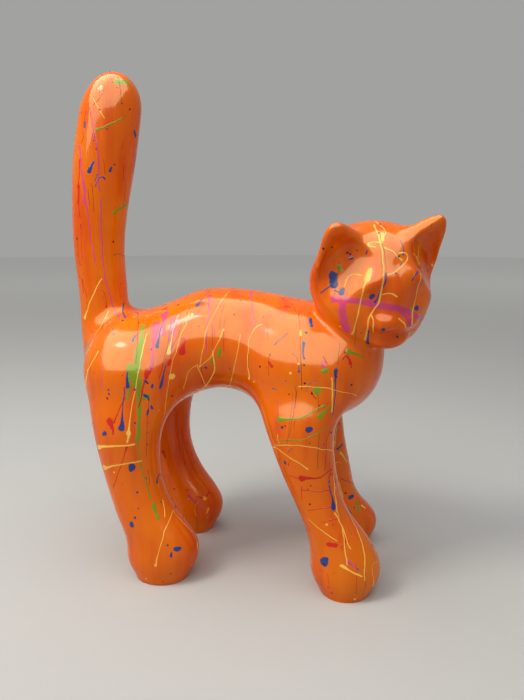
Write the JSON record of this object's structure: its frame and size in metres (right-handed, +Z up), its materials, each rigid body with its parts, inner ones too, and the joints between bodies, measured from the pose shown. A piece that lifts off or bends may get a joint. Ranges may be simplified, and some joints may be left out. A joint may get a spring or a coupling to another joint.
{
  "type": "garden cat statue",
  "caption": "Standing cat figure with an upright tail, arched back and turned head, cast as one solid on flat soles.",
  "frame": {"origin": "on the ground under the middle of the figure's box", "axes": "+X towards the head end, +Y towards the cat's left, +Z up"},
  "size_m": [0.4714, 0.213, 0.6373],
  "materials": {
    "painted_figure": "glossy orange lacquer splattered with yellow, navy, red, green and magenta paint"
  },
  "bodies": {
    "root": {"cat_statue": "painted_figure"}
  },
  "joints": []
}
